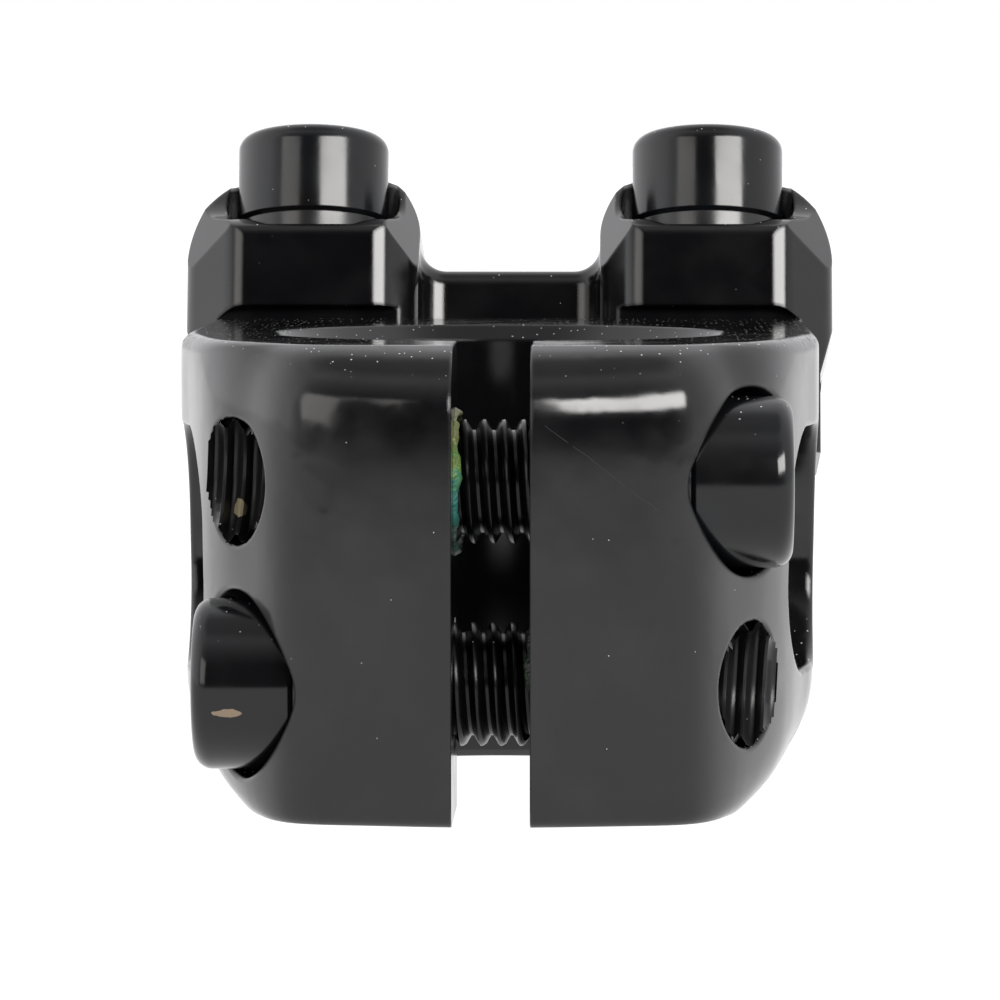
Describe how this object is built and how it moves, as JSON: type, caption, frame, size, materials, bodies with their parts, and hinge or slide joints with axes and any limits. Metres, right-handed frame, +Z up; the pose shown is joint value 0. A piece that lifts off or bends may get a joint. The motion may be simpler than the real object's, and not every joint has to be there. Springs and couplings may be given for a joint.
{
  "type": "handlebar stem",
  "caption": "Gloss black top-load handlebar stem: split steerer clamp with crossed pinch bolts, and a bolted two-lobe bar cap.",
  "frame": {"origin": "centre of the steerer clamp's bore at the bottom face", "axes": "+Z up along the steerer bore; +Y forward to the handlebar; +X to the rider's right, along the bar bore"},
  "size_m": [0.0468, 0.1026, 0.0439],
  "materials": {
    "body_paint": "gloss black over aluminium",
    "cap_paint": "gloss black over aluminium",
    "bolt_black": "gloss black plated steel",
    "washer_black": "gloss black plated steel"
  },
  "bodies": {
    "stem_body": {"stem_body": "body_paint"},
    "bar_cap": {"bar_cap": "cap_paint"},
    "cap_washer_rear_left": {"cap_washer_rear_left": "washer_black"},
    "cap_bolt_rear_left": {"cap_bolt_rear_left": "bolt_black"},
    "cap_washer_rear_right": {"cap_washer_rear_right": "washer_black"},
    "cap_bolt_rear_right": {"cap_bolt_rear_right": "bolt_black"},
    "cap_washer_front_left": {"cap_washer_front_left": "washer_black"},
    "cap_bolt_front_left": {"cap_bolt_front_left": "bolt_black"},
    "cap_washer_front_right": {"cap_washer_front_right": "washer_black"},
    "cap_bolt_front_right": {"cap_bolt_front_right": "bolt_black"},
    "pinch_washer_upper": {"pinch_washer_upper": "washer_black"},
    "pinch_bolt_upper": {"pinch_bolt_upper": "bolt_black"},
    "pinch_washer_lower": {"pinch_washer_lower": "washer_black"},
    "pinch_bolt_lower": {"pinch_bolt_lower": "bolt_black"}
  },
  "joints": [
    {"name": "cap_lift", "type": "slide", "parent": "stem_body", "child": "bar_cap", "axis": [0, 0.225, 0.9744], "range_m": [0, 0.03]},
    {"name": "cap_bolt_rear_left_advance", "type": "slide", "parent": "bar_cap", "child": "cap_washer_rear_left", "axis": [0, 0.225, 0.9744], "range_m": [0, 0.00885]},
    {"name": "cap_bolt_rear_left_turn", "type": "hinge", "parent": "cap_washer_rear_left", "child": "cap_bolt_rear_left", "pos_m": [-0.01435, 0.03502, 0.03657], "axis": [0, 0.225, 0.9744], "range_deg": [0, 2520]},
    {"name": "cap_bolt_rear_right_advance", "type": "slide", "parent": "bar_cap", "child": "cap_washer_rear_right", "axis": [0, 0.225, 0.9744], "range_m": [0, 0.00885]},
    {"name": "cap_bolt_rear_right_turn", "type": "hinge", "parent": "cap_washer_rear_right", "child": "cap_bolt_rear_right", "pos_m": [0.01435, 0.03502, 0.03657], "axis": [0, 0.225, 0.9744], "range_deg": [0, 2520]},
    {"name": "cap_bolt_front_left_advance", "type": "slide", "parent": "bar_cap", "child": "cap_washer_front_left", "axis": [0, 0.225, 0.9744], "range_m": [0, 0.00885]},
    {"name": "cap_bolt_front_left_turn", "type": "hinge", "parent": "cap_washer_front_left", "child": "cap_bolt_front_left", "pos_m": [-0.01435, 0.06912, 0.0287], "axis": [0, 0.225, 0.9744], "range_deg": [0, 2520]},
    {"name": "cap_bolt_front_right_advance", "type": "slide", "parent": "bar_cap", "child": "cap_washer_front_right", "axis": [0, 0.225, 0.9744], "range_m": [0, 0.00885]},
    {"name": "cap_bolt_front_right_turn", "type": "hinge", "parent": "cap_washer_front_right", "child": "cap_bolt_front_right", "pos_m": [0.01435, 0.06912, 0.0287], "axis": [0, 0.225, 0.9744], "range_deg": [0, 2520]},
    {"name": "pinch_bolt_upper_advance", "type": "slide", "parent": "stem_body", "child": "pinch_washer_upper", "axis": [1, 0, 0], "range_m": [0, 0.0101]},
    {"name": "pinch_bolt_upper_turn", "type": "hinge", "parent": "pinch_washer_upper", "child": "pinch_bolt_upper", "pos_m": [0.0125, -0.0186, 0.0212], "axis": [1, 0, 0], "range_deg": [0, 2880]},
    {"name": "pinch_bolt_lower_advance", "type": "slide", "parent": "stem_body", "child": "pinch_washer_lower", "axis": [-1, 0, 0], "range_m": [0, 0.0101]},
    {"name": "pinch_bolt_lower_turn", "type": "hinge", "parent": "pinch_washer_lower", "child": "pinch_bolt_lower", "pos_m": [-0.0125, -0.0186, 0.0083], "axis": [-1, 0, 0], "range_deg": [0, 2880]}
  ],
  "couplings": [
    {"joint": "cap_bolt_rear_left_advance", "follows": "cap_bolt_rear_left_turn", "m_per_rad": 0.00019894},
    {"joint": "cap_bolt_rear_right_advance", "follows": "cap_bolt_rear_right_turn", "m_per_rad": 0.00019894},
    {"joint": "cap_bolt_front_left_advance", "follows": "cap_bolt_front_left_turn", "m_per_rad": 0.00019894},
    {"joint": "cap_bolt_front_right_advance", "follows": "cap_bolt_front_right_turn", "m_per_rad": 0.00019894},
    {"joint": "pinch_bolt_upper_advance", "follows": "pinch_bolt_upper_turn", "m_per_rad": 0.00019894},
    {"joint": "pinch_bolt_lower_advance", "follows": "pinch_bolt_lower_turn", "m_per_rad": 0.00019894}
  ]
}
